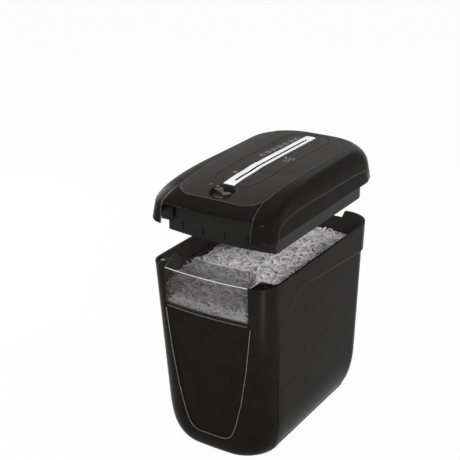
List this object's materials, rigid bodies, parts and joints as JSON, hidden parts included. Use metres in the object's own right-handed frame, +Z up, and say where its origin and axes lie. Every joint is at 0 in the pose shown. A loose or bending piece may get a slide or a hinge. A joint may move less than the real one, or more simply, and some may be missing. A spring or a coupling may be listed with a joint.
{
  "type": "paper shredder",
  "caption": "Cross-cut office paper shredder: tapered waste bin with a smoked front window and a lift-off head holding motor, gear train and twin cutter shafts.",
  "frame": {"origin": "floor level, under the middle of the whole with its lifted head", "axes": "+Z up, the windowed front faces -Y, +X is to the right of someone who looks at the front"},
  "size_m": [0.23, 0.3894, 0.463],
  "materials": {
    "bin_black": "dark warm black moulded polystyrene, satin gloss",
    "head_black": "dark warm black moulded plastic, glossy",
    "deck_grey": "charcoal, finely grained, matte",
    "casing_black": "black, lightly grained",
    "smoke_window": "smoked see-through moulding",
    "silver_trim": "bright silver, finely brushed",
    "paper": "shredded white paper",
    "steel": "ground and plated steel",
    "hard_steel": "hardened, oiled cutter steel",
    "bronze": "sintered bronze",
    "gear_nylon": "natural nylon",
    "board_green": "solder-masked board",
    "switch_black": "switch housing",
    "relay_blue": "relay housing",
    "capacitor_yellow": "dipped film capacitor",
    "terminal_green": "terminal block",
    "motor_grey": "zinc-plated motor can",
    "magnet_grey": "ferrite magnet",
    "winding_copper": "lacquered copper and laminations",
    "lever_black": "soft black grip",
    "rubber_black": "soft black grommet"
  },
  "bodies": {
    "bin": {"bin_body": "bin_black", "bin_window": "smoke_window", "ear_screws": "steel", "shredded_paper": "paper"},
    "head": {"head_shell": "head_black", "deck_panel": "deck_grey", "slot_trim": "silver_trim", "throat_guides": "casing_black", "lower_casing": "casing_black", "casing_screws": "steel", "front_plate": "steel", "rear_plate": "steel", "tie_rods": "steel", "shaft_bushes": "bronze", "stripper_left": "casing_black", "stripper_right": "casing_black", "gear_pins": "steel", "gearbox_cover": "casing_black", "motor_can": "motor_grey", "motor_end_bell": "casing_black", "motor_bushes": "bronze", "motor_magnets": "magnet_grey", "motor_screws": "steel", "control_switch": "switch_black", "flap_bracket": "casing_black", "start_switch": "switch_black", "interlock_switch": "switch_black", "control_board": "board_green", "board_posts": "casing_black", "run_capacitor": "capacitor_yellow", "power_relay": "relay_blue", "terminal_block": "terminal_green", "thermal_cutout": "switch_black", "cord_gland": "rubber_black"},
    "cutter_a": {"cutter_shaft_a": "hard_steel", "timing_gear_a": "steel", "drive_gear": "steel"},
    "cutter_b": {"cutter_shaft_b": "hard_steel", "timing_gear_b": "steel"},
    "second_wheel": {"second_gear": "gear_nylon"},
    "first_wheel": {"first_gear": "gear_nylon"},
    "rotor": {"motor_rotor": "winding_copper"},
    "control": {"control_lever": "lever_black"},
    "start_flap": {"paper_flap": "gear_nylon"},
    "interlock": {"interlock_pin": "gear_nylon"}
  },
  "joints": [
    {"name": "head_lift", "type": "slide", "parent": "bin", "child": "head", "axis": [0, 0, 1], "range_m": [-0.0737, 0.0002]},
    {"name": "cutter_a_spin", "type": "hinge", "parent": "head", "child": "cutter_a", "pos_m": [-0.017, 0.01961, 0.402], "axis": [0, 1, 0], "continuous": true},
    {"name": "cutter_b_spin", "type": "hinge", "parent": "head", "child": "cutter_b", "pos_m": [0.017, 0.01961, 0.402], "axis": [0, 1, 0], "continuous": true},
    {"name": "second_wheel_spin", "type": "hinge", "parent": "head", "child": "second_wheel", "pos_m": [0.00959, 0.15461, 0.42278], "axis": [0, 1, 0], "continuous": true},
    {"name": "first_wheel_spin", "type": "hinge", "parent": "head", "child": "first_wheel", "pos_m": [0.04029, 0.15761, 0.41846], "axis": [0, 1, 0], "continuous": true},
    {"name": "rotor_spin", "type": "hinge", "parent": "head", "child": "rotor", "pos_m": [0.06898, 0.09961, 0.41595], "axis": [0, 1, 0], "continuous": true},
    {"name": "control_turn", "type": "hinge", "parent": "head", "child": "control", "pos_m": [0.001, -0.13739, 0.445], "axis": [0, 0, 1], "range_deg": [-38, 14]},
    {"name": "start_flap_swing", "type": "hinge", "parent": "head", "child": "start_flap", "pos_m": [0.014, 0.01961, 0.433], "axis": [0, -1, 0], "range_deg": [0, 15], "stiffness_Nm_per_rad": 0.002, "springref_deg": -17.19},
    {"name": "interlock_press", "type": "slide", "parent": "head", "child": "interlock", "axis": [0, 0, 1], "range_m": [0, 0.003], "stiffness_N_per_m": 60, "springref_m": -0.002}
  ],
  "couplings": [
    {"joint": "cutter_b_spin", "follows": "cutter_a_spin", "ratio": -1},
    {"joint": "second_wheel_spin", "follows": "cutter_a_spin", "ratio": -2.8571},
    {"joint": "first_wheel_spin", "follows": "cutter_a_spin", "ratio": 9.7959},
    {"joint": "rotor_spin", "follows": "cutter_a_spin", "ratio": -48.98}
  ]
}
